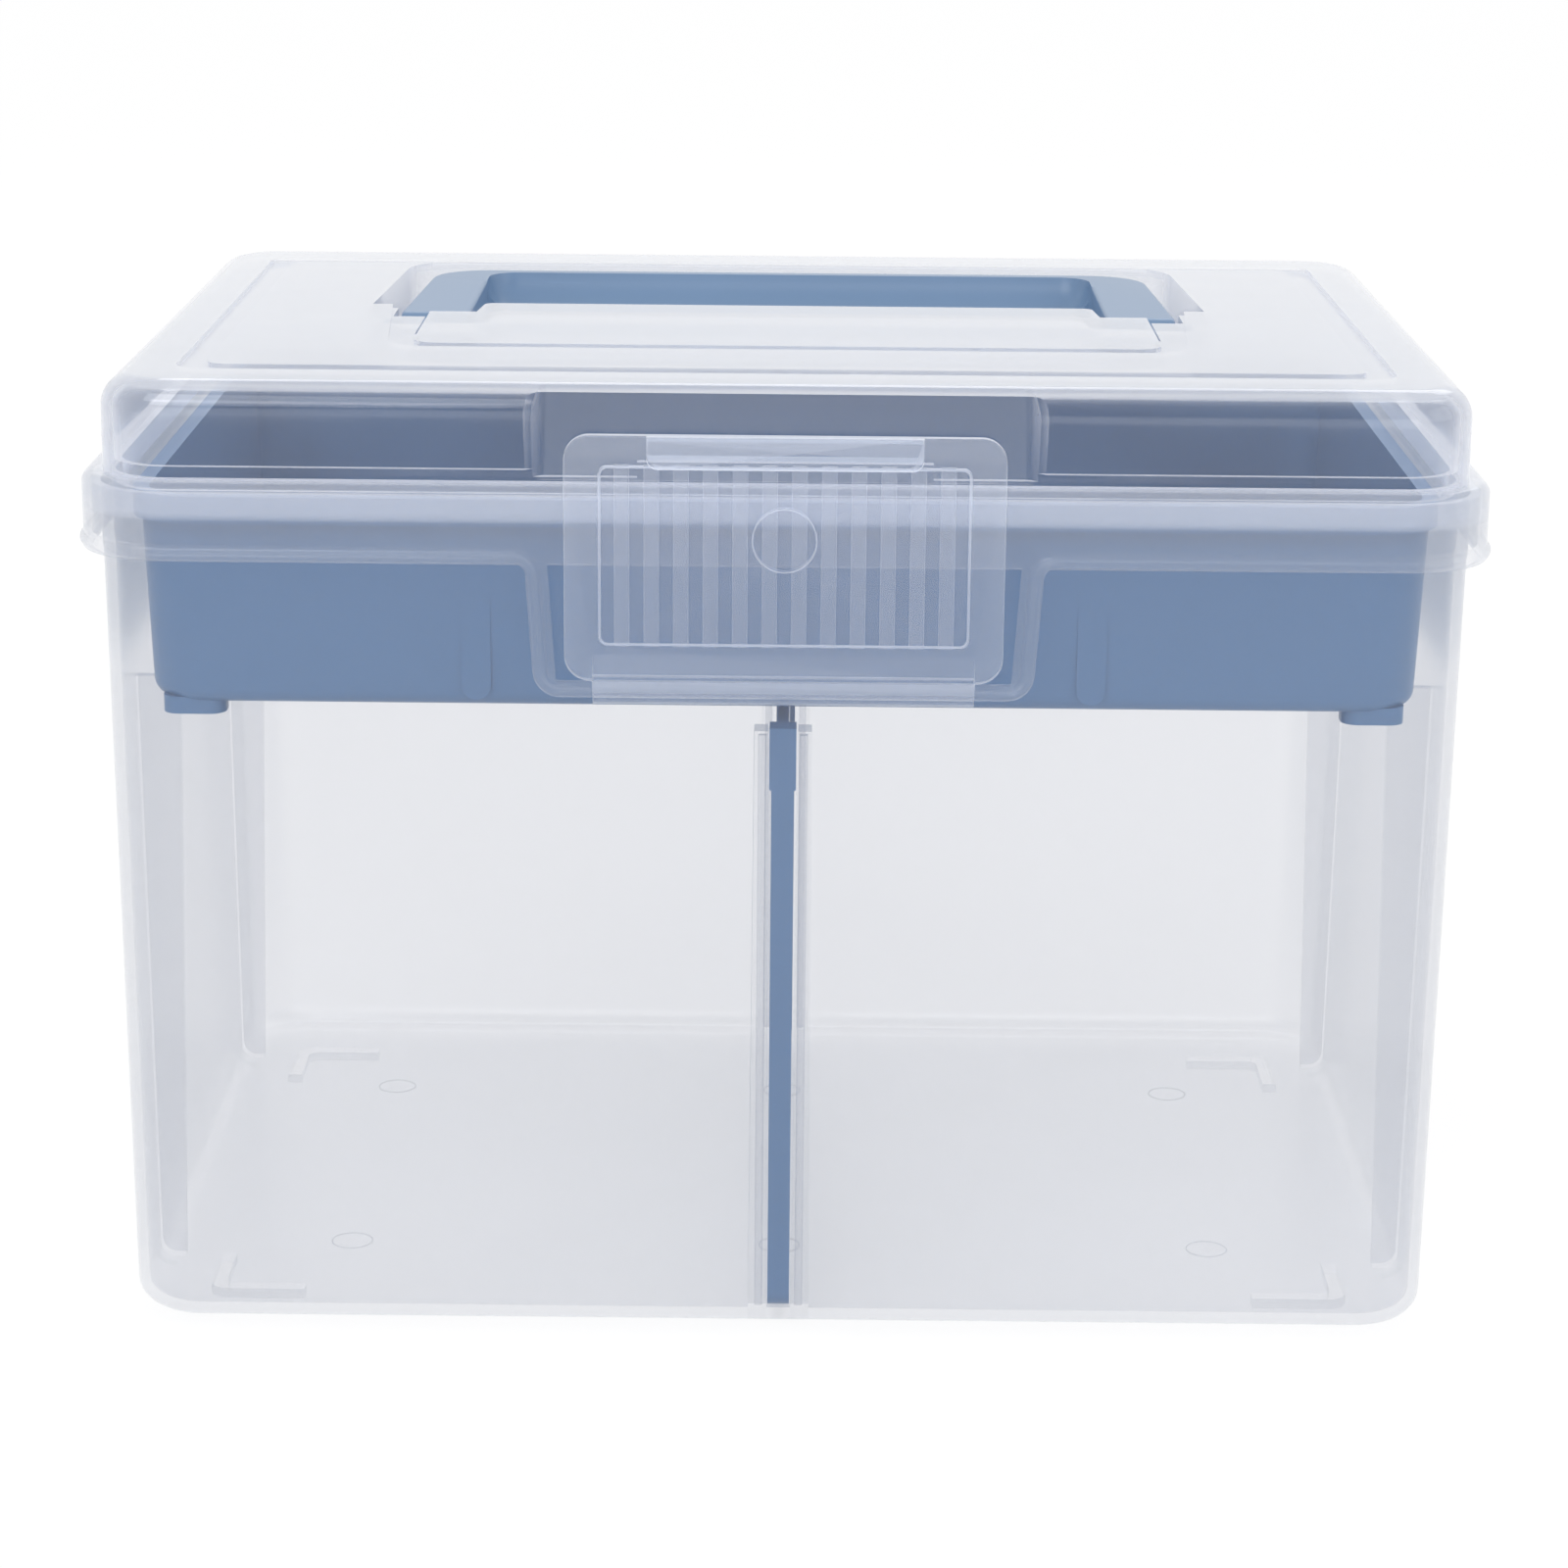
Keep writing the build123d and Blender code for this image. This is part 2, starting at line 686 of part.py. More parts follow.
# Latch: a ribbed plate with a hook at its top and a clip at its foot
latch_back = rim_front - latch_stand_off
latch_face = latch_back - latch_thickness
with BuildPart() as latch:
    with BuildSketch(Plane.XZ.offset(-latch_back)):
        with Locations((0, (latch_top + latch_bottom) / 2)):
            RectangleRounded(2 * latch_half, latch_top - latch_bottom, latch_corner)
    extrude(amount=latch_thickness)
    fillet(latch.faces().sort_by(Axis.Y)[0].edges(), radius=latch_edge)
    # Window with its ribs
    with BuildSketch(Plane.XZ.offset(-latch_face)):
        with Locations((0, window_bottom + window_height / 2)):
            RectangleRounded(2 * window_half, window_height, window_corner)
    extrude(amount=-window_depth, mode=Mode.SUBTRACT)
    with BuildSketch(Plane.XZ.offset(-latch_face - window_depth)):
        with Locations((0, window_bottom + window_height / 2)):
            with GridLocations(window_rib_pitch, 1, window_rib_count, 1):
                Rectangle(window_rib_width, window_height)
    extrude(amount=window_rib_proud)
    # Hook over the lid's catch, with the thicker pad in front of it
    with BuildSketch(Plane.XZ.offset(-latch_back)) as pad:
        with Locations((0, hook_bottom)):
            Rectangle(2 * hook_half, latch_top - hook_bottom, align=(Align.CENTER, Align.MIN))
        fillet(pad.vertices().group_by(Axis.Y)[0], radius=hook_corner)
    extrude(amount=latch_thickness + hook_pad)
    with BuildSketch(Plane.YZ):
        with BuildLine():
            Polyline(
                (latch_back - latch_thickness / 2, latch_top),
                (-lid_half_y - hook_gap, latch_top - hook_slope),
                (-lid_half_y - hook_gap, hook_bottom),
                (latch_back - latch_thickness / 2, hook_bottom + hook_slope),
                close=True,
            )
        make_face()
    extrude(amount=hook_half, both=True)
    # Clip round the bar
    with BuildSketch(Plane.YZ):
        with Locations((bar_y, bar_z)):
            Circle(clip_radius)
        with BuildLine():
            Polyline(
                (latch_face, latch_bottom + latch_corner),
                (latch_face, latch_bottom),
                (bar_y - clip_radius, bar_z),
                (bar_y, bar_z),
                (latch_back, latch_bottom + latch_corner),
                close=True,
            )
        make_face()
        with Locations((bar_y, bar_z)):
            Circle(clip_bore, mode=Mode.SUBTRACT)
            Rectangle(
                2 * clip_radius, clip_mouth, align=(Align.MIN, Align.CENTER), mode=Mode.SUBTRACT
            )
    extrude(amount=clip_half, both=True)
    # Round mark on the back of the plate
    with BuildSketch(Plane.XZ.offset(-latch_back)):
        with Locations((0, latch_top - latch_mark_below_top)):
            Circle(latch_mark_radius)
    extrude(amount=latch_mark_depth, mode=Mode.SUBTRACT)

latch.part.label = "latch"


def tray_half(half_at_rim, height):
    """Half size of the tray's drafted wall at a height."""
    return half_at_rim - (tray_rim - height) * math.tan(math.radians(tray_draft))


# Tray
tray_outer_x = inner_half_x - tray_side_gap
tray_outer_y = inner_half_y - tray_side_gap
tray_wall_x = tray_outer_x - tray_rim_proud
tray_wall_y = tray_outer_y - tray_rim_proud
with BuildPart() as tray:
    loft(
        [
            rounded_section(
                tray_bottom,
                tray_half(tray_wall_x, tray_bottom),
                tray_half(tray_wall_y, tray_bottom),
                tray_corner - tray_rim_proud,
            ),
            rounded_section(tray_rim, tray_wall_x, tray_wall_y, tray_corner - tray_rim_proud),
        ]
    )
    fillet(tray.edges().group_by(Axis.Z)[0], radius=tray_foot_radius)
    with BuildSketch(Plane.XY.offset(tray_rim)):
        RectangleRounded(2 * tray_outer_x, 2 * tray_outer_y, tray_corner)
    extrude(amount=-tray_rim_height)
    # Pilasters on the front and back walls
    with BuildSketch(Plane.XZ):
        with Locations((-tray_pilaster_x, tray_rim), (tray_pilaster_x, tray_rim)):
            Rectangle(
                tray_pilaster_width,
                tray_height - tray_pilaster_gap - tray_pilaster_width / 2,
                align=(Align.CENTER, Align.MAX),
            )
        with Locations(
            (-tray_pilaster_x, tray_bottom + tray_pilaster_gap + tray_pilaster_width / 2),
            (tray_pilaster_x, tray_bottom + tray_pilaster_gap + tray_pilaster_width / 2),
        ):
            Circle(tray_pilaster_width / 2)
    extrude(amount=tray_half(tray_wall_y, tray_bottom) + tray_pilaster_proud, both=True)
    loft(
        [
            rounded_section(
                tray_bottom + tray_floor,
                tray_half(tray_wall_x, tray_bottom) - tray_wall,
                tray_half(tray_wall_y, tray_bottom) - tray_wall,
                tray_corner - tray_rim_proud - tray_wall,
            ),
            rounded_section(
                tray_rim,
                tray_wall_x - tray_wall,
                tray_wall_y - tray_wall,
                tray_corner - tray_rim_proud - tray_wall,
            ),
        ],
        mode=Mode.SUBTRACT,
    )
    # Feet under the corners
    foot_x = tray_half(tray_wall_x, tray_bottom) - tray_foot_inset_x - tray_foot_length / 2
    foot_y = tray_half(tray_wall_y, tray_bottom) - tray_foot_inset_y - tray_foot_depth / 2
    with BuildSketch(Plane.XY.offset(tray_bottom + tray_floor / 2)):
        with GridLocations(2 * foot_x, 2 * foot_y, 2, 2):
            RectangleRounded(tray_foot_length, tray_foot_depth, tray_foot_radius)
    extrude(amount=-(tray_foot_height + tray_floor / 2))

tray.part.label = "tray"

# Divider: a plate with thicker upright edges and a head on each
with BuildPart() as divider:
    with BuildSketch(Plane.YZ) as plate:
        with Locations((0, floor_top)):
            Rectangle(
                2 * divider_reach, guide_top - floor_top, align=(Align.CENTER, Align.MIN)
            )
        fillet(plate.vertices().group_by(Axis.Y)[0], radius=divider_corner)
    extrude(amount=divider_plate / 2, both=True)
    with BuildSketch(Plane.YZ) as edges:
        with Locations((-divider_reach, floor_top), (divider_reach, floor_top)):
            Rectangle(
                2 * divider_edge_depth, guide_top - floor_top, align=(Align.CENTER, Align.MIN)
            )
        add(plate.sketch_local, mode=Mode.INTERSECT)
    extrude(amount=divider_edge_width / 2, both=True)
    with BuildSketch(Plane.YZ):
        with Locations((-divider_reach, guide_top), (divider_reach, guide_top)):
            Rectangle(
                2 * divider_head_depth, divider_head_height, align=(Align.CENTER, Align.MAX)
            )
        add(plate.sketch_local, mode=Mode.INTERSECT)
    extrude(amount=divider_head_width / 2, both=True)

divider.part.label = "divider"

os.makedirs("parts", exist_ok=True)
for piece in (body, lid, handle, latch, tray, divider):
    export_step(piece.part, f"parts/{piece.part.label}.step")
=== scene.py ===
# %% [markdown]
# # A clear coin box with a blue tray
#
# The object is a storage box moulded from clear and blue polypropylene: a frosted lower box, a
# glossy domed lid, a blue handle that lies folded in the lid, a lift-out blue tray, an upright blue
# divider and a clear latch at the front. The solids come ready from the CAD model. This script gives
# them smooth shading, finishes and small moulded details, and a plain bright studio round them.

# %% Load the frame
import math

import bmesh
import bpy
from mathutils import Matrix, Vector
from mathutils.bvhtree import BVHTree


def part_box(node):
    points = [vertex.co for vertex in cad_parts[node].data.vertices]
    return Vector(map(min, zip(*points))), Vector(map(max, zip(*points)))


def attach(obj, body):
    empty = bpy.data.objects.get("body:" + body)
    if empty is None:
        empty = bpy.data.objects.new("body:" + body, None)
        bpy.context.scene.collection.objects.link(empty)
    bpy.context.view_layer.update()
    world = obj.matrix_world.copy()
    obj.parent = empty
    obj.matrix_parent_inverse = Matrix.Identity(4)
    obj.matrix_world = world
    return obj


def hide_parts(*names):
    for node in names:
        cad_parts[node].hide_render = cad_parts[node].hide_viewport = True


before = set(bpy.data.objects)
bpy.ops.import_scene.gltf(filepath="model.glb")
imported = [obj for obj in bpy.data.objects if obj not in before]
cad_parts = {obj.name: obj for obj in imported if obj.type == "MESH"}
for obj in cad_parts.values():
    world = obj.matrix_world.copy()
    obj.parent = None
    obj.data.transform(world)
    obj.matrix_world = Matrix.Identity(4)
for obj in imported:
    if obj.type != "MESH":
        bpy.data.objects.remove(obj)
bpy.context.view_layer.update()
print("nodes:", sorted(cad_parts))

MM = 0.001
WHITE = (1.0, 1.0, 1.0, 1.0)
scene = bpy.context.scene


# %% [markdown]
# ## Smooth shading
#
# A moulding is smooth across its rounded corners and crisp only at real edges. The CAD surfaces come
# as flat facets whose neighbours don't share points. A welded copy of each piece, shaded smooth up
# to a chosen angle, reads as one skin, and the edges that are meant stay crisp. Each node here is a
# body of its own, so a copy rides on the body of its node's name.

# %% Welded, smoothly shaded copies
WELD = 0.002 * MM
SHARP_ANGLE = math.radians(32)


def moulded(node, body):
    """A welded copy of a CAD node, smooth up to SHARP_ANGLE, that is shown in the node's place."""
    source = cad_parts[node]
    mesh = source.data.copy()
    mesh.name = node + "_skin"
    shell = bmesh.new()
    shell.from_mesh(mesh)
    bmesh.ops.remove_doubles(shell, verts=shell.verts, dist=WELD)
    bmesh.ops.dissolve_degenerate(shell, edges=shell.edges, dist=WELD / 4)
    bmesh.ops.recalc_face_normals(shell, faces=shell.faces)
    shell.to_mesh(mesh)
    shell.free()
    if "custom_normal" in mesh.attributes:
        mesh.attributes.remove(mesh.attributes["custom_normal"])
    mesh.materials.clear()
    mesh.shade_smooth()
    mesh.set_sharp_from_angle(angle=SHARP_ANGLE)
    piece = bpy.data.objects.new(node + "_moulding", mesh)
    scene.collection.objects.link(piece)
    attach(piece, body)
    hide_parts(node)
    return piece


pieces = {node: moulded(node, node) for node in sorted(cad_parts)}
for node, piece in pieces.items():
    print(node, len(piece.data.vertices), "points", len(piece.data.polygons), "faces")


# %% [markdown]
# ## A short way to write shader arithmetic
#
# Finishes are built from a few numbers per point: grain, wear, haze. A small class wraps a socket so
# that these can be written as plain sums and products, and one method makes any other node.

# %% The socket class
class Sock:
    """One output of a shader tree, with arithmetic."""

    def __init__(self, tree, out):
        self.tree = tree
        self.out = out

    def make(self, kind, inputs=(), output=0, **settings):
        """Any other node of the same tree: inputs by name or number, settings by attribute."""
        node = self.tree.nodes.new("ShaderNode" + kind)
        for key, value in settings.items():
            setattr(node, key, value)
        for key, value in dict(inputs).items():
            if isinstance(value, Sock):
                self.tree.links.new(value.out, node.inputs[key])
            else:
                node.inputs[key].default_value = value
        return Sock(self.tree, node.outputs[output])

    def math(self, operation, first, second=0.0):
        return self.make("Math", {0: first, 1: second}, operation=operation)

    def __add__(self, other):
        return self.math("ADD", self, other)

    def __radd__(self, other):
        return self.math("ADD", other, self)

    def __sub__(self, other):
        return self.math("SUBTRACT", self, other)

    def __rsub__(self, other):
        return self.math("SUBTRACT", other, self)

    def __mul__(self, other):
        return self.math("MULTIPLY", self, other)

    def __rmul__(self, other):
        return self.math("MULTIPLY", other, self)

    def __pow__(self, other):
        return self.math("POWER", self, other)

    def __rpow__(self, other):
        return self.math("POWER", other, self)

    def clamped(self, low=0.0, high=1.0):
        return self.make("Clamp", {"Value": self, "Min": low, "Max": high})


def linear(red, green, blue):
    """A screen colour of 0 to 255 as the linear light a shader takes."""
    def one(c):
        c = c / 255
        return c / 12.92 if c <= 0.04045 else ((c + 0.055) / 1.055) ** 2.4
    return (one(red), one(green), one(blue), 1.0)


def new_material(name):
    """An empty material: its tree, its Principled shader and its object coordinates."""
    material = bpy.data.materials.new(name)
    material.use_nodes = True
    tree = material.node_tree
    shader = tree.nodes["Principled BSDF"]
    place = Sock(tree, tree.nodes.new("ShaderNodeTexCoord").outputs["Object"])
    return material, tree, shader, place


def wire(tree, shader, name, value):
    tree.links.new(value.out, shader.inputs[name])


# %% [markdown]
# ## How thick the wall is
#
# A clear moulding looks paler where it is thicker: the ribs of the latch's window, the feet and the
# guides show for that reason alone. A ray sent into the plastic from the middle of each face meets
# the far side, and the distance is kept on the face for the finish to read.

# %% Wall thickness on each face
THICKEST = 8.0
START_INSIDE = 0.02 * MM


def measure_walls(piece):
    """Keeps the wall's thickness in millimetres, THICKEST at most, on every face as `wall`."""
    mesh = piece.data
    shell = bmesh.new()
    shell.from_mesh(mesh)
    tree = BVHTree.FromBMesh(shell)
    wall = mesh.attributes.new("wall", "FLOAT", "FACE")
    for face in mesh.polygons:
        inward = -face.normal
        hit = tree.ray_cast(face.center + inward * START_INSIDE, inward)
        depth = THICKEST if hit[3] is None else hit[3] / MM
        wall.data[face.index].value = min(depth, THICKEST)
    shell.free()


for node in ("body", "lid", "latch"):
    measure_walls(pieces[node])
    depths = sorted(item.value for item in pieces[node].data.attributes["wall"].data)
    print(node, "middle wall", round(depths[len(depths) // 2], 2), "mm")


# %% [markdown]
# ## Clear polypropylene
#
# Polypropylene is never as clear as glass. Three things happen to light at its surface: most of it
# passes and comes out a little greyer, some is scattered by the milky bulk and the moulded grain, and
# some is mirrored, more so at a slant. The scattered share grows with the wall's thickness and with
# the slant, because the eye then looks lengthways through the wall. A fine noise adds the grain, and
# long thin noise adds the rub marks of use. Most of what the bulk scatters still goes onward, so a
# lamp's ray loses little of its strength, and the inside of the box stays bright.

# %% Clear finishes
REFERENCE_WALL = 2.0
THINNEST_SHARE, THICKEST_SHARE = 0.3, 3.0
FORWARD = 0.9
GRAIN_DEPTH = 0.005 * MM
CLOUD_SCALE = 24.0
SLOW_SCALE = 30.0
RUB_STRETCH = (30.0, 60.0, 700.0)
RUB_LEVEL = 0.62
RUB_EDGE = 6.0
RUB_SCATTER = 0.02
MIRROR_FACED = 0.04
MIRROR_SLANT_POWER = 5.0
CLOUD_LEAST, CLOUD_RANGE = 0.93, 0.14
CLOUD_DULLS = 0.97
GRAIN_ROUGHENS, RUB_ROUGHENS = 0.08, 0.15
GLOWS_THROUGH = 0.45


def clear_plastic(name, colour, tint, haze, slanted, falloff, rough, grain, wave, band=None):
    """A milky clear wall: `haze` is its scatter when faced at 2 mm, `slanted` that along the wall.
    `band` is a lowest height, a highest height and the scatter that is added between them."""
    material, tree, shader, place = new_material(name)
    fine = place.make("TexNoise", {"Vector": place, "Scale": grain, "Detail": 3.0, "Roughness": 0.6})
    cloud = place.make("TexNoise", {"Vector": place, "Scale": CLOUD_SCALE, "Detail": 3.0})
    long_way = place.make("Mapping", {"Vector": place, "Scale": RUB_STRETCH})
    rubbed = place.make("TexNoise", {"Vector": long_way, "Scale": 1.0, "Detail": 5.0, "Roughness": 0.7})
    marks = ((rubbed - RUB_LEVEL) * RUB_EDGE).clamped()
    slow = place.make("TexNoise", {"Vector": place, "Scale": SLOW_SCALE, "Detail": 1.0})
    height = slow * wave + fine * GRAIN_DEPTH
    bump = place.make("Bump", {"Height": height, "Strength": 1.0, "Distance": 1.0})
    facing = place.make("LayerWeight", {"Blend": 0.5}, output=1)
    wall = place.make("Attribute", output=2, attribute_name="wall")
    thick = (wall * (1.0 / REFERENCE_WALL)).clamped(THINNEST_SHARE, THICKEST_SHARE)
    scatter = 1.0 - (1.0 - haze) ** thick
    scatter = scatter + (slanted - haze) * facing ** falloff
    if band:
        low, high, more = band
        level = place.make("SeparateXYZ", {0: place}, output=2)
        over = level.math("GREATER_THAN", level, low)
        under = level.math("LESS_THAN", level, high)
        scatter = scatter + more * over * under
    lamp_ray = place.make("LightPath", output=1)
    onward = 1.0 - FORWARD * lamp_ray
    scatter = (scatter * (CLOUD_LEAST + CLOUD_RANGE * cloud) + marks * RUB_SCATTER).clamped() * onward
    mirrored = (MIRROR_FACED + (1.0 - MIRROR_FACED) * facing ** MIRROR_SLANT_POWER) * onward
    roughness = (rough + GRAIN_ROUGHENS * (fine - 0.5) + RUB_ROUGHENS * marks).clamped()
    duller = tuple(CLOUD_DULLS * c for c in colour[:3]) + (1.0,)
    shade = place.make("Mix", {"Factor": cloud, 6: colour, 7: duller}, output=2, data_type="RGBA")
    wire(tree, shader, "Base Color", shade)
    wire(tree, shader, "Roughness", roughness)
    wire(tree, shader, "Normal", bump)
    shader.inputs["Specular IOR Level"].default_value = 0.0
    through = place.make("BsdfTranslucent", {"Color": colour, "Normal": bump})
    milk = place.make("MixShader", {0: GLOWS_THROUGH, 1: Sock(tree, shader.outputs[0]), 2: through})
    passed = place.make("BsdfTransparent", {"Color": tint})
    bulk = place.make("MixShader", {0: scatter, 1: passed, 2: milk})
    gloss = place.make("BsdfGlossy", {"Color": WHITE, "Roughness": rough, "Normal": bump})
    whole = place.make("MixShader", {0: mirrored, 1: bulk, 2: gloss})
    tree.links.new(whole.out, tree.nodes["Material Output"].inputs["Surface"])
    return material


RIM_BAND = (157.5 * MM, 164.2 * MM, 0.16)
BODY_CLEAR = clear_plastic(
    "body_clear_plastic", linear(240, 244, 252), tint=(0.955, 0.957, 0.965, 1.0), haze=0.036,
    slanted=0.27, falloff=2.2, rough=0.25, grain=1500.0, wave=0.08 * MM, band=RIM_BAND)
LATCH_CLEAR = clear_plastic(
    "latch_clear_plastic", linear(240, 245, 255), tint=(0.965, 0.97, 0.98, 1.0), haze=0.095,
    slanted=0.6, falloff=1.6, rough=0.3, grain=1500.0, wave=0.04 * MM)
LID_CLEAR = clear_plastic(
    "lid_clear_plastic", linear(246, 248, 254), tint=(0.972, 0.974, 0.982, 1.0), haze=0.02,
    slanted=0.9, falloff=1.9, rough=0.07, grain=700.0, wave=0.25 * MM)


# %% [markdown]
# ## Blue polypropylene
#
# The handle's blue is the plastic as it shows in the light. The tray and the divider share a darker,
# deeper copy of it: the darkening is painted shade for their place inside the box, behind the clear
# walls. Such mouldings have a soft gloss, a barely uneven surface and slightly paler scuffs.

# %% Blue finish
BLUE_GRAIN_DEPTH = 0.03 * MM
BLUE_RUB_STRETCH = (30.0, 700.0, 90.0)
BLUE_RUB_LEVEL = 0.64
BLUE_GRAIN_SCALE, BLUE_CLOUD_SCALE = 900.0, 18.0
PALE_GAIN, PALE_LIFT = 1.35, 0.02
RUB_PALES, CLOUD_PALES = 0.35, 0.3
CLOUD_ROUGHENS = 0.1
POLYPROPYLENE_IOR = 1.49


def blue_plastic(name, colour, rough):
    """A solid blue moulding whose base colour turns a little paler in clouds and scuffs."""
    material, tree, shader, place = new_material(name)
    fine = place.make("TexNoise", {"Vector": place, "Scale": BLUE_GRAIN_SCALE, "Detail": 3.0})
    cloud = place.make("TexNoise", {"Vector": place, "Scale": BLUE_CLOUD_SCALE, "Detail": 3.0})
    across = place.make("Mapping", {"Vector": place, "Scale": BLUE_RUB_STRETCH})
    rubbed = place.make("TexNoise", {"Vector": across, "Scale": 1.0, "Detail": 5.0, "Roughness": 0.7})
    marks = ((rubbed - BLUE_RUB_LEVEL) * RUB_EDGE).clamped()
    pale = tuple(min(1.0, c * PALE_GAIN + PALE_LIFT) for c in colour[:3]) + (1.0,)
    paler = (marks * RUB_PALES + (cloud - 0.5) * CLOUD_PALES).clamped()
    tint = place.make("Mix", {"Factor": paler, 6: colour, 7: pale}, output=2, data_type="RGBA")
    wire(tree, shader, "Base Color", tint)
    roughness = (rough + CLOUD_ROUGHENS * (cloud - 0.5) + RUB_ROUGHENS * marks).clamped()
    wire(tree, shader, "Roughness", roughness)
    bump = place.make("Bump", {"Height": fine, "Strength": 0.2, "Distance": BLUE_GRAIN_DEPTH})
    wire(tree, shader, "Normal", bump)
    shader.inputs["IOR"].default_value = POLYPROPYLENE_IOR
    return material


HANDLE_BLUE = blue_plastic("handle_blue_plastic", linear(105, 133, 166), 0.32)
# The tray's darker blue is painted shade: the handle's blue darkened for the tray's place inside the
# box.
TRAY_SHADED_BLUE = blue_plastic("tray_shaded_blue_plastic", linear(74, 116, 160), 0.36)

FINISH = {"body": BODY_CLEAR, "lid": LID_CLEAR, "latch": LATCH_CLEAR, "handle": HANDLE_BLUE,
          "tray": TRAY_SHADED_BLUE, "divider": TRAY_SHADED_BLUE}
for node, piece in pieces.items():
    piece.data.materials.append(FINISH[node])
    print(node, "has the finish", FINISH[node].name)


# %% [markdown]
# ## Helpers for grown pieces
#
# Small repeated mouldings, such as the ribs of the latch's window, could be modelled one by one. A
# rule says it better, so each kind gets a tree of geometry nodes that takes a few lengths and gives
# the mesh. The helpers keep such a tree short to write: one makes a node, two begin and end a tree,
# two draw outlines, and one carries a profile along a path.

# %% Helpers for geometry trees
def add_node(tree, kind, inputs=(), **settings):
    """A node of a geometry tree with its settings and inputs, values or sockets. Gives its output."""
    node = tree.nodes.new(kind)
    for key, value in settings.items():
        setattr(node, key, value)
    for key, value in dict(inputs).items():
        if isinstance(value, bpy.types.NodeSocket):
            tree.links.new(value, node.inputs[key])
        else:
            node.inputs[key].default_value = value
    return node.outputs[0]


def new_tree(name, numbers):
    """An empty geometry tree with a mesh output and one named input for each number."""
    tree = bpy.data.node_groups.new(name, "GeometryNodeTree")
    tree.interface.new_socket("Mesh", in_out="OUTPUT", socket_type="NodeSocketGeometry")
    for label in numbers:
        tree.interface.new_socket(label, in_out="INPUT", socket_type="NodeSocketFloat")
    given = tree.nodes.new("NodeGroupInput")
    return tree, {label: given.outputs[label] for label in numbers}


def close_tree(tree, geometry, material, wall):
    """Ends a tree: real geometry, the wall's thickness for the finish, and the material."""
    real = add_node(tree, "GeometryNodeRealizeInstances", {"Geometry": geometry})
    stored = {0: real, "Name": "wall", "Value": wall}
    kept = add_node(tree, "GeometryNodeStoreNamedAttribute", stored, data_type="FLOAT", domain="FACE")
    dressed = add_node(tree, "GeometryNodeSetMaterial", {"Geometry": kept, "Material": material})
    out = tree.nodes.new("NodeGroupOutput")
    tree.links.new(dressed, out.inputs["Mesh"])


def rounded_outline(tree, width, height, rounding, steps):
    """A level rounded rectangle round the origin."""
    sharp = add_node(tree, "GeometryNodeCurvePrimitiveQuadrilateral", {"Width": width, "Height": height})
    eased = {"Curve": sharp, "Radius": rounding, "Count": steps}
    return add_node(tree, "GeometryNodeFilletCurve", eased, mode="POLY")


def circle(tree, radius, steps):
    """A level circle round the origin."""
    return add_node(tree, "GeometryNodeCurvePrimitiveCircle", {"Resolution": steps, "Radius": radius})


def swept(tree, path, profile, caps=False):
    """A profile carried along a path."""
    inputs = {"Curve": path, "Profile Curve": profile, "Fill Caps": caps}
    return add_node(tree, "GeometryNodeCurveToMesh", inputs)


# %% [markdown]
# ## From a tree to a piece
#
# A tree grows its mesh on a stand-in object. The result is kept as a plain mesh, moved to its place
# and given to the body that carries it.

# %% Growing a piece
GROWN_SHARP_ANGLE = math.radians(50)


def grown(name, tree, values, place, body):
    """Runs a geometry tree with its input values and keeps the result as a plain mesh at a place."""
    holder = bpy.data.objects.new(name + "_source", bpy.data.meshes.new(name + "_empty"))
    scene.collection.objects.link(holder)
    modifier = holder.modifiers.new("grow", "NODES")
    modifier.node_group = tree
    inputs = [item for item in tree.interface.items_tree if item.in_out == "INPUT"]
    for item in inputs:
        modifier[item.identifier] = values[item.name]
    bpy.context.view_layer.update()
    ready = holder.evaluated_get(bpy.context.evaluated_depsgraph_get())
    mesh = bpy.data.meshes.new_from_object(ready)
    bpy.data.objects.remove(holder)
    mesh.name = name + "_mesh"
    mesh.transform(Matrix.Translation(Vector(place)))
    shell = bmesh.new()
    shell.from_mesh(mesh)
    bmesh.ops.recalc_face_normals(shell, faces=shell.faces)
    shell.to_mesh(mesh)
    shell.free()
    mesh.shade_smooth()
    mesh.set_sharp_from_angle(angle=GROWN_SHARP_ANGLE)
    piece = bpy.data.objects.new(name, mesh)
    scene.collection.objects.link(piece)
    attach(piece, body)
    print(name, len(mesh.polygons), "faces")


# %% [markdown]
# ## Ribs of the window and guides of the divider
#
# The latch's window has twelve upright ribs, and two guides hold each end of the divider. The solids
# have them with sharp edges, but real edges are a little rounded and catch the light. A row of points
# with one rounded bar on each lays such a crown over them.

# %% Bars in a row
BAR_CORNER_STEPS = 4


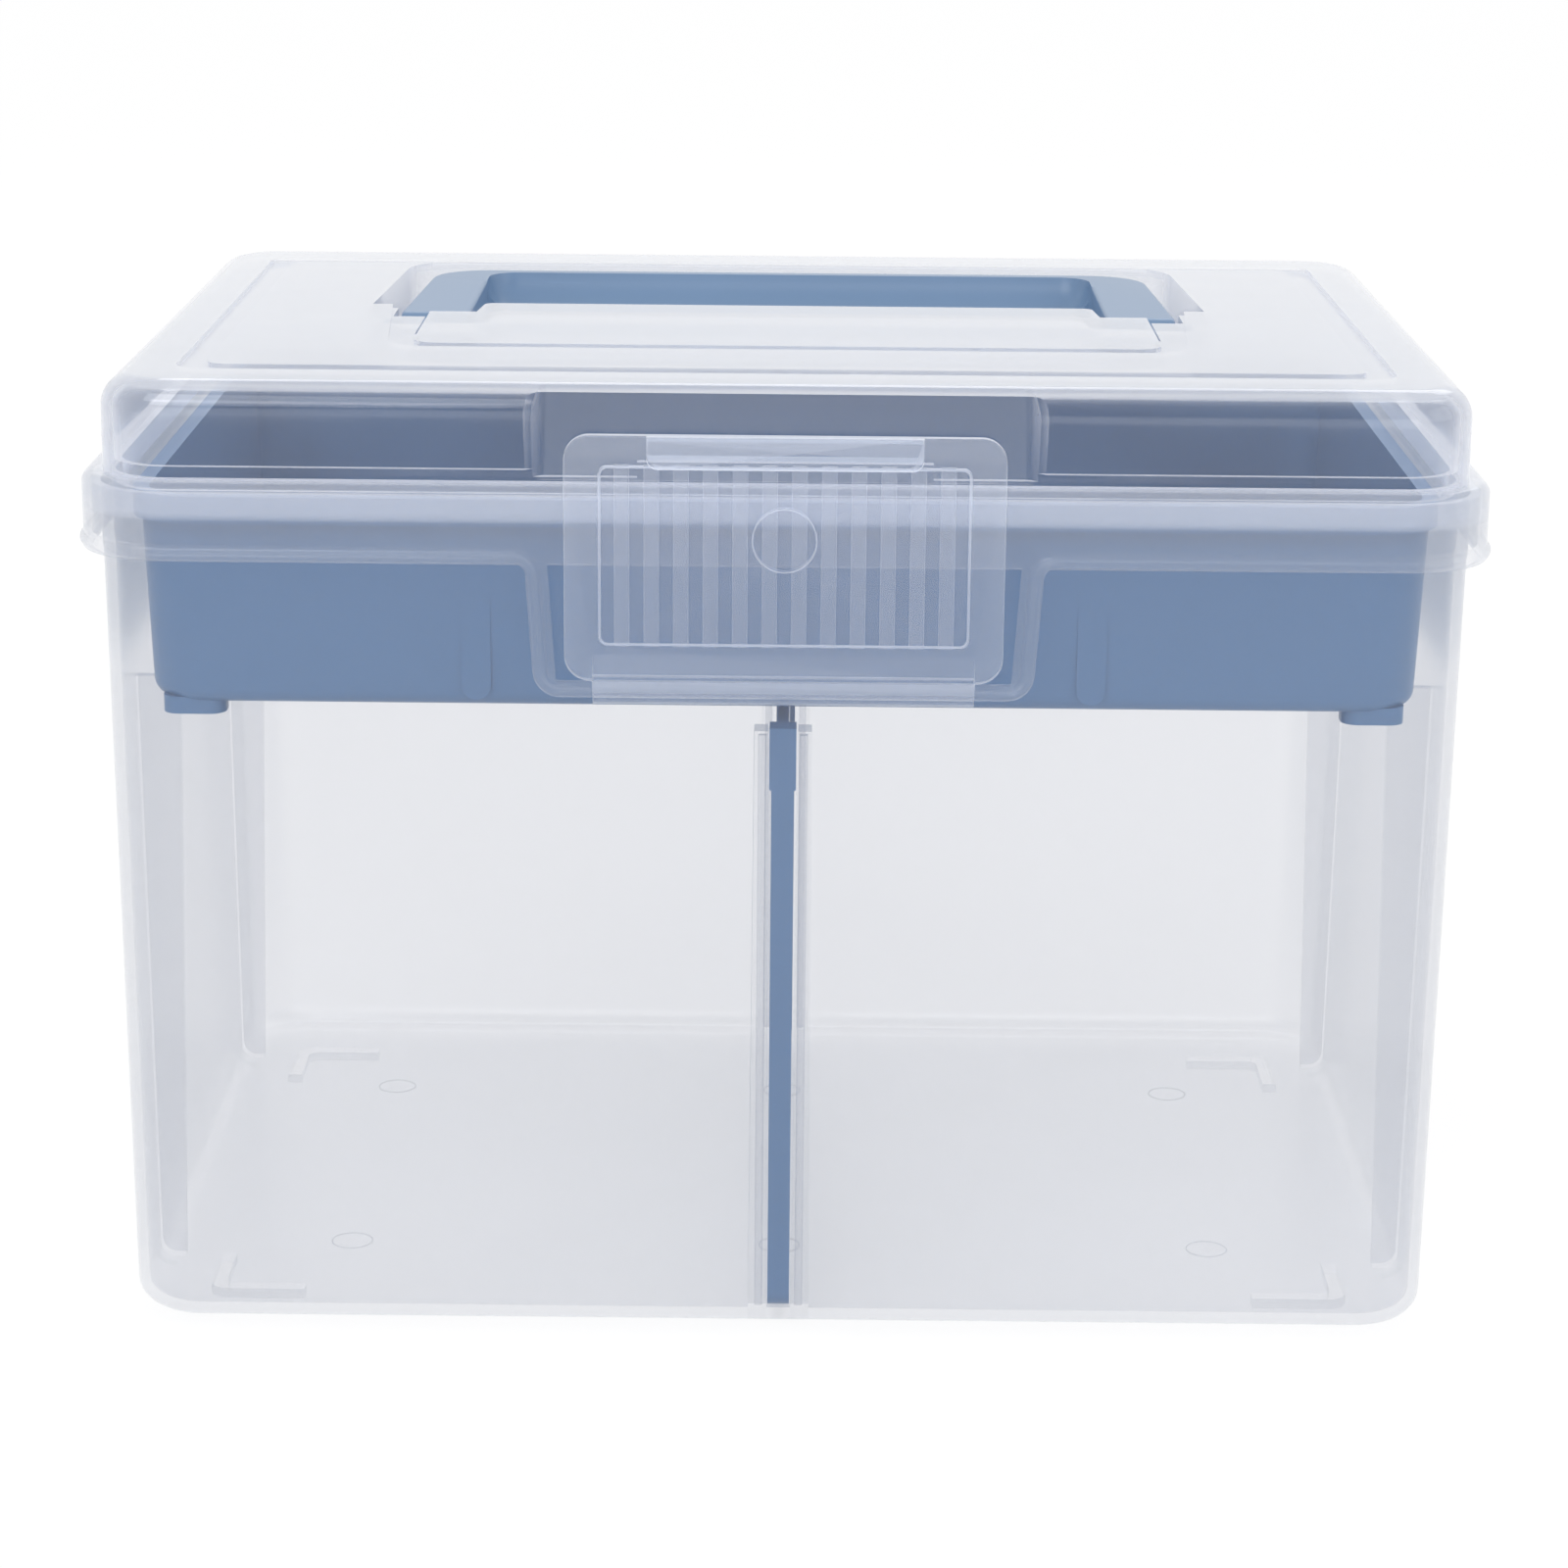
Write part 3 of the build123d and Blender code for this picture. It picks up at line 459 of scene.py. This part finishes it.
def bar_tree(name, material):
    """Upright rounded bars in a row along X, standing on the origin's level."""
    tree, size = new_tree(name, ("Count", "Pitch", "Width", "Depth", "Length", "Rounding", "Wall"))
    whole = add_node(tree, "FunctionNodeFloatToInt", {0: size["Count"]})
    gaps = add_node(tree, "ShaderNodeMath", {0: size["Count"], 1: 1.0}, operation="SUBTRACT")
    reach = add_node(tree, "ShaderNodeMath", {0: gaps, 1: size["Pitch"]}, operation="MULTIPLY")
    start = add_node(tree, "ShaderNodeMath", {0: reach, 1: -0.5}, operation="MULTIPLY")
    first = add_node(tree, "ShaderNodeCombineXYZ", {"X": start})
    step = add_node(tree, "ShaderNodeCombineXYZ", {"X": size["Pitch"]})
    row_inputs = {"Count": whole, "Start Location": first, "Offset": step}
    row = add_node(tree, "GeometryNodeMeshLine", row_inputs, mode="OFFSET")
    top = add_node(tree, "ShaderNodeCombineXYZ", {"Z": size["Length"]})
    spine = add_node(tree, "GeometryNodeCurvePrimitiveLine", {"End": top})
    section = rounded_outline(tree, size["Width"], size["Depth"], size["Rounding"], BAR_CORNER_STEPS)
    bar = swept(tree, spine, section, caps=True)
    placed = add_node(tree, "GeometryNodeInstanceOnPoints", {"Points": row, "Instance": bar})
    close_tree(tree, placed, material, size["Wall"])
    return tree


WINDOW_RIBS = {"Count": 12.0, "Pitch": 5.24 * MM, "Width": 2.7 * MM, "Depth": 0.5 * MM,
               "Length": 32.8 * MM, "Rounding": 0.22 * MM, "Wall": 0.8}
WINDOW_BEHIND_FACE = 1.4 * MM
RIB_FOOT_BELOW_TOP = 38.0 * MM
latch_low, latch_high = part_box("latch")
window_face = latch_low[1] + WINDOW_BEHIND_FACE
rib_foot = latch_high[2] - RIB_FOOT_BELOW_TOP
rib_place = (0.0, window_face + WINDOW_RIBS["Depth"] / 2, rib_foot)
grown("window_ribs", bar_tree("upright_ribs", LATCH_CLEAR), WINDOW_RIBS, rib_place, "latch")

GUIDES = {"Count": 2.0, "Pitch": 7.6 * MM, "Width": 1.5 * MM, "Depth": 1.5 * MM,
          "Length": 112.0 * MM, "Rounding": 0.4 * MM, "Wall": 4.0}
GUIDE_FOOT = 4.5 * MM
GUIDE_INSIDE_END = 2.5 * MM
divider_low, divider_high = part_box("divider")
guide_ends = {"front": divider_low[1] + GUIDE_INSIDE_END, "back": divider_high[1] - GUIDE_INSIDE_END}
guide_bars = bar_tree("guide_bars", BODY_CLEAR)
for end, y in guide_ends.items():
    grown("divider_guides_" + end, guide_bars, GUIDES, (0.0, y, GUIDE_FOOT), "body")


# %% [markdown]
# ## Outline of the window and thumb mark
#
# A thin raised line runs round the window, and a circle shows where the thumb pulls. Both are one
# bead along an upright rounded rectangle: a rounding of almost half its width makes it a circle.

# %% Beads along an outline
BEAD_STEPS = 8
OUTLINE_CORNER_STEPS = 6


def outline_tree(name, material):
    """A thin bead along an upright rounded rectangle round the origin."""
    tree, size = new_tree(name, ("Width", "Height", "Rounding", "Bead"))
    level = rounded_outline(tree, size["Width"], size["Height"], size["Rounding"], OUTLINE_CORNER_STEPS)
    turn = {"Geometry": level, "Rotation": (math.pi / 2, 0.0, 0.0)}
    upright = add_node(tree, "GeometryNodeTransform", turn)
    bead = swept(tree, upright, circle(tree, size["Bead"], BEAD_STEPS))
    close_tree(tree, bead, material, THICKEST)
    return tree


WINDOW = {"Width": 65.5 * MM, "Height": 32.0 * MM, "Rounding": 1.5 * MM, "Bead": 0.22 * MM}
MARK = {"Width": 11.4 * MM, "Height": 11.4 * MM, "Rounding": 5.6 * MM, "Bead": 0.12 * MM}
MARK_BELOW_TOP = 18.6 * MM
MARK_PROUD = 0.15 * MM
window_place = (0.0, window_face, rib_foot + WINDOW_RIBS["Length"] / 2)
mark_place = (0.0, window_face - MARK_PROUD, latch_high[2] - MARK_BELOW_TOP)
outline = outline_tree("thin_outline", LATCH_CLEAR)
grown("window_frame", outline, WINDOW, window_place, "latch")
grown("thumb_mark", outline, MARK, mark_place, "latch")


# %% [markdown]
# ## Marks of the ejector pins
#
# The pins that push a moulding out of its mould leave a faint ring each under its floor. A level grid
# of points with a thin ring on each makes them, for the floor of the body and of the tray.

# %% Rings on a grid
PIN_MARK_WALL = 3.0
RING_STEPS = 32


def ring_tree(name, material):
    """Thin rings on a level grid of three by two points."""
    tree, size = new_tree(name, ("Across", "Along", "Radius", "Thickness"))
    points = {"Size X": size["Across"], "Size Y": size["Along"], "Vertices X": 3, "Vertices Y": 2}
    grid = add_node(tree, "GeometryNodeMeshGrid", points)
    wire_section = circle(tree, size["Thickness"], BEAD_STEPS)
    ring = swept(tree, circle(tree, size["Radius"], RING_STEPS), wire_section)
    placed = add_node(tree, "GeometryNodeInstanceOnPoints", {"Points": grid, "Instance": ring})
    close_tree(tree, placed, material, PIN_MARK_WALL)
    return tree


PIN_MARKS = {"Across": 170.0 * MM, "Along": 90.0 * MM, "Radius": 4.0 * MM, "Thickness": 0.15 * MM}
BASE_ABOVE_FEET = 2.0 * MM
TRAY_ABOVE_FEET = 2.3 * MM
tray_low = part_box("tray")[0]
body_marks = (0.0, 0.0, BASE_ABOVE_FEET)
tray_marks = (0.0, 0.0, tray_low[2] + TRAY_ABOVE_FEET)
grown("body_pin_marks", ring_tree("body_rings", BODY_CLEAR), PIN_MARKS, body_marks, "body")
grown("tray_pin_marks", ring_tree("tray_rings", TRAY_SHADED_BLUE), PIN_MARKS, tray_marks, "tray")


# %% [markdown]
# ## Sky and floor
#
# A catalogue shot stands on white. For the camera and for mirrored rays the sky is white and the floor
# nearly so. For all other rays the sky is a little dimmer and the floor is matt, which keeps the light
# soft, and the floor still takes a faint shadow.

# %% Sky and floor
SKY_LIGHT = 0.8
FLOOR_SIZE = 12.0
FLOOR_GLOW = 1.05
FLOOR_GLOW_SHARE = 0.85
FLOOR_COLOUR = (0.86, 0.86, 0.87, 1.0)


def seen(tree, plain, bright):
    """Mixes two shaders: `bright` for camera, glossy and transmission rays, `plain` for the others."""
    path = tree.nodes.new("ShaderNodeLightPath")
    rays = Sock(tree, path.outputs["Is Camera Ray"]) + Sock(tree, path.outputs["Is Glossy Ray"])
    rays = (rays + Sock(tree, path.outputs["Is Transmission Ray"])).clamped()
    return rays.make("MixShader", {0: rays, 1: plain, 2: bright})


def build_world():
    world = bpy.data.worlds.new("studio")
    scene.world = world
    world.use_nodes = True
    tree = world.node_tree
    output = tree.nodes["World Output"]
    sky = Sock(tree, tree.nodes["Background"].outputs[0])
    tree.nodes["Background"].inputs["Color"].default_value = WHITE
    tree.nodes["Background"].inputs["Strength"].default_value = SKY_LIGHT
    white = sky.make("Background", {"Color": WHITE, "Strength": 1.0})
    tree.links.new(seen(tree, sky, white).out, output.inputs["Surface"])


def build_floor():
    material = bpy.data.materials.new("white_floor")
    material.use_nodes = True
    tree = material.node_tree
    tree.nodes.remove(tree.nodes["Principled BSDF"])
    matt = Sock(tree, tree.nodes.new("ShaderNodeBsdfDiffuse").outputs[0])
    matt.out.node.inputs["Color"].default_value = FLOOR_COLOUR
    glow = matt.make("Emission", {"Color": WHITE, "Strength": FLOOR_GLOW})
    bright = matt.make("MixShader", {0: FLOOR_GLOW_SHARE, 1: matt, 2: glow})
    tree.links.new(seen(tree, matt, bright).out, tree.nodes["Material Output"].inputs["Surface"])
    bpy.ops.mesh.primitive_plane_add(size=FLOOR_SIZE, location=(0.0, 0.0, 0.0))
    floor = bpy.context.object
    floor.name = "floor"
    floor.data.materials.append(material)


build_world()
build_floor()
print("sky strength", SKY_LIGHT, "floor", FLOOR_SIZE, "m wide")


# %% [markdown]
# ## Lamps
#
# Four large soft lamps stand round the box: the key high in front on the left, a fill on the right, a
# low one straight ahead for the latch and the walls, and one behind, whose light comes through the
# clear walls. A large lamp gives the soft edges of light that moulded plastic shows.

# %% Lamps
def soft_lamp(name, place, target, size, watts):
    light = bpy.data.lights.new(name, "AREA")
    light.shape = "RECTANGLE"
    light.size, light.size_y = size
    light.energy = watts
    lamp = bpy.data.objects.new(name, light)
    lamp.location = place
    lamp.rotation_euler = (Vector(target) - Vector(place)).to_track_quat("-Z", "Y").to_euler()
    scene.collection.objects.link(lamp)
    print(name, watts, "W")


soft_lamp("key_lamp", (-0.5, -0.9, 1.3), (0.0, 0.0, 0.08), (0.9, 0.7), 6.0)
soft_lamp("fill_lamp", (1.1, -0.5, 0.7), (0.0, 0.0, 0.08), (0.8, 0.8), 2.0)
soft_lamp("front_lamp", (0.0, -1.5, 0.35), (0.0, 0.0, 0.12), (1.6, 0.7), 3.0)
soft_lamp("back_lamp", (0.2, 1.1, 1.0), (0.0, 0.0, 0.1), (1.2, 0.5), 3.0)


# %% [markdown]
# ## How light is counted
#
# A look through the box crosses many clear faces, and each one counts as a bounce, so the limit for
# clear faces is raised. The standard view shows a colour about as it is written.

# %% Clear faces and colours
CLEAR_FACES = 48
scene.cycles.transparent_max_bounces = CLEAR_FACES
scene.view_settings.view_transform = "Standard"
print("clear faces a ray may cross:", CLEAR_FACES)


# %% [markdown]
# ## Camera
#
# A long lens from about 0.8 m, looking 15.5 degrees down at the front: the view of a catalogue shot.

# %% Camera
PITCH, ROLL, YAW = (math.radians(a) for a in (15.54, 0.52, -0.18))
SENSOR_MM, LENS_MM = 36.0, 91.05
STANDPOINT = (0.00245, -0.78131, 0.30198)


def build_camera():
    ahead = Vector((math.sin(YAW) * math.cos(PITCH), math.cos(YAW) * math.cos(PITCH), -math.sin(PITCH)))
    side = Vector((math.cos(YAW), -math.sin(YAW), 0.0))
    above = side.cross(ahead)
    right = side * math.cos(ROLL) + above * math.sin(ROLL)
    top = above * math.cos(ROLL) - side * math.sin(ROLL)
    turn = Matrix((right, top, -ahead)).transposed()
    data = bpy.data.cameras.new("camera")
    data.sensor_width = SENSOR_MM
    data.lens = LENS_MM
    camera = bpy.data.objects.new("camera", data)
    camera.matrix_world = Matrix.Translation(Vector(STANDPOINT)) @ turn.to_4x4()
    scene.collection.objects.link(camera)
    scene.camera = camera


build_camera()
print("camera at", STANDPOINT, "with a lens of", LENS_MM, "mm")
